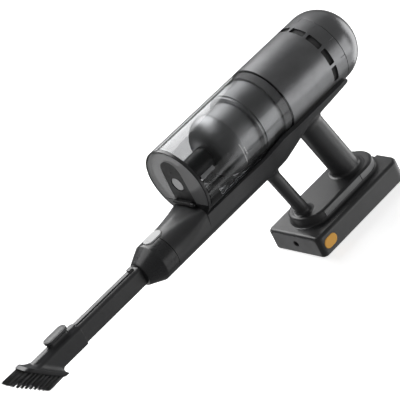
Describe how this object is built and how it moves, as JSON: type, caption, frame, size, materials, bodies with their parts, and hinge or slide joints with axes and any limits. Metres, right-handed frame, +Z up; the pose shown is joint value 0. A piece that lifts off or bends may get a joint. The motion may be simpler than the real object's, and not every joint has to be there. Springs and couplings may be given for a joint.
{
  "type": "handheld vacuum",
  "caption": "Cordless handheld vacuum: clear dust bin and motor barrel on a duct saddle, leaning grip and strut, slide-on battery base, crevice tool with a sliding brush.",
  "frame": {"origin": "centre of the battery's flat underside, which the vacuum stands on", "axes": "+X along the barrel from the nozzle to the motor, +Z up away from the battery, +Y to the vacuum's side"},
  "size_m": [0.5835, 0.09, 0.228],
  "materials": {
    "housing_plastic": "satin charcoal moulding",
    "cap_plastic": "semi-gloss charcoal moulding",
    "dark_plastic": "near-black moulding",
    "inner_plastic": "plain grey moulding",
    "strip_plastic": "ridged mid-grey grip strip",
    "clear_smoke": "smoked clear plastic",
    "clear_lid": "lightly smoked clear plastic",
    "button_grey": "light grey",
    "button_orange": "orange",
    "bristle": "black nylon tufts",
    "rubber": "soft black",
    "filter_paper": "pleated filter paper",
    "foam": "open foam",
    "mesh_steel": "perforated sheet",
    "steel": "bright",
    "aluminium": "turned",
    "copper": "enamelled winding",
    "contact": "plated",
    "magnet": "ground",
    "circuit_board": "solder mask",
    "cell_wrap": "shrink-wrapped cell",
    "wire": "insulated wire"
  },
  "bodies": {
    "body": {"spine_housing": "housing_plastic", "motor_housing": "housing_plastic", "rear_cap": "cap_plastic", "motor_bulkhead": "dark_plastic", "exhaust_filter": "foam", "motor_mounts": "rubber", "motor_can": "aluminium", "stator_core": "magnet", "stator_coils": "copper", "diffuser": "inner_plastic", "fan_cover": "inner_plastic", "shaft_bearings": "steel", "control_board": "circuit_board", "power_button_spring": "steel", "handle_grip": "housing_plastic", "front_strut": "housing_plastic", "handle_foot": "housing_plastic", "foot_grip_strips": "strip_plastic", "battery_rail": "dark_plastic", "contact_blades": "contact", "power_lead": "wire", "housing_screws": "steel"},
    "rotor": {"rotor_shaft": "steel", "rotor_magnet": "magnet", "impeller": "aluminium"},
    "power_button": {"power_button": "button_grey"},
    "nozzle_button": {"nozzle_button": "button_grey"},
    "dust_bin": {"bin_shell": "clear_smoke", "bin_inlet": "dark_plastic", "cyclone_bell": "dark_plastic", "cyclone_mesh": "mesh_steel", "cyclone_core": "dark_plastic", "filter_frame": "dark_plastic", "hepa_filter": "filter_paper", "bin_seal": "rubber", "lid_hinge_pin": "steel"},
    "inlet_flap": {"inlet_flap": "rubber"},
    "bin_lid": {"lid_frame": "clear_lid", "lid_window": "clear_lid", "lid_strap": "housing_plastic", "lid_seal": "rubber", "lid_button_spring": "steel"},
    "lid_button": {"lid_button": "button_grey"},
    "lid_latch": {"lid_latch": "inner_plastic"},
    "battery": {"battery_case": "housing_plastic", "battery_end_cap": "strip_plastic", "battery_cells": "cell_wrap", "cell_straps": "steel", "battery_board": "circuit_board", "charge_jack": "dark_plastic", "battery_button_springs": "steel"},
    "battery_button_left": {"battery_button_left": "button_orange"},
    "battery_button_right": {"battery_button_right": "button_orange"},
    "tool": {"tool_adapter": "cap_plastic", "crevice_tube": "housing_plastic"},
    "brush": {"brush_sleeve": "dark_plastic", "bristles": "bristle"},
    "brush_button": {"brush_button": "housing_plastic"}
  },
  "joints": [
    {"name": "rotor_spin", "type": "hinge", "parent": "body", "child": "rotor", "pos_m": [-0.009, 0, 0.183], "axis": [1, 0, 0], "continuous": true},
    {"name": "power_button_press", "type": "slide", "parent": "body", "child": "power_button", "axis": [-1, 0, 0], "range_m": [0, 0.0012], "stiffness_N_per_m": 1500, "springref_m": -0.001},
    {"name": "nozzle_button_press", "type": "slide", "parent": "body", "child": "nozzle_button", "axis": [0, 0, -1], "range_m": [0, 0.001], "stiffness_N_per_m": 1500, "springref_m": -0.001},
    {"name": "bin_lift", "type": "slide", "parent": "body", "child": "dust_bin", "axis": [0, 0, 1], "range_m": [0, 0.06]},
    {"name": "inlet_flap_hinge", "type": "hinge", "parent": "dust_bin", "child": "inlet_flap", "pos_m": [-0.1441, 0, 0.157], "axis": [0, -1, 0], "range_deg": [0, 60], "stiffness_Nm_per_rad": 0.002},
    {"name": "lid_hinge", "type": "hinge", "parent": "dust_bin", "child": "bin_lid", "pos_m": [-0.18145, 0, 0.1593], "axis": [0, -1, 0], "range_deg": [0, 80]},
    {"name": "lid_button_press", "type": "slide", "parent": "bin_lid", "child": "lid_button", "axis": [1, 0, 0], "range_m": [0, 0.002], "stiffness_N_per_m": 1000, "springref_m": -0.001},
    {"name": "lid_latch_slide", "type": "slide", "parent": "bin_lid", "child": "lid_latch", "axis": [0, 0, -1], "range_m": [0, 0.002]},
    {"name": "battery_slide", "type": "slide", "parent": "body", "child": "battery", "axis": [-1, 0, 0], "range_m": [0, 0.1]},
    {"name": "battery_button_left_press", "type": "slide", "parent": "battery", "child": "battery_button_left", "axis": [0, 1, 0], "range_m": [0, 0.002], "stiffness_N_per_m": 1000, "springref_m": -0.001},
    {"name": "battery_button_right_press", "type": "slide", "parent": "battery", "child": "battery_button_right", "axis": [0, -1, 0], "range_m": [0, 0.002], "stiffness_N_per_m": 1000, "springref_m": -0.001},
    {"name": "tool_slide", "type": "slide", "parent": "body", "child": "tool", "axis": [-1, 0, 0], "range_m": [0, 0.06]},
    {"name": "brush_slide", "type": "slide", "parent": "tool", "child": "brush", "axis": [1, 0, 0], "range_m": [0, 0.07]},
    {"name": "brush_button_press", "type": "slide", "parent": "brush", "child": "brush_button", "axis": [0, 0, -1], "range_m": [0, 0.0012], "stiffness_N_per_m": 1500, "springref_m": -0.001}
  ],
  "couplings": [
    {"joint": "lid_latch_slide", "follows": "lid_button_press", "ratio": 1}
  ]
}
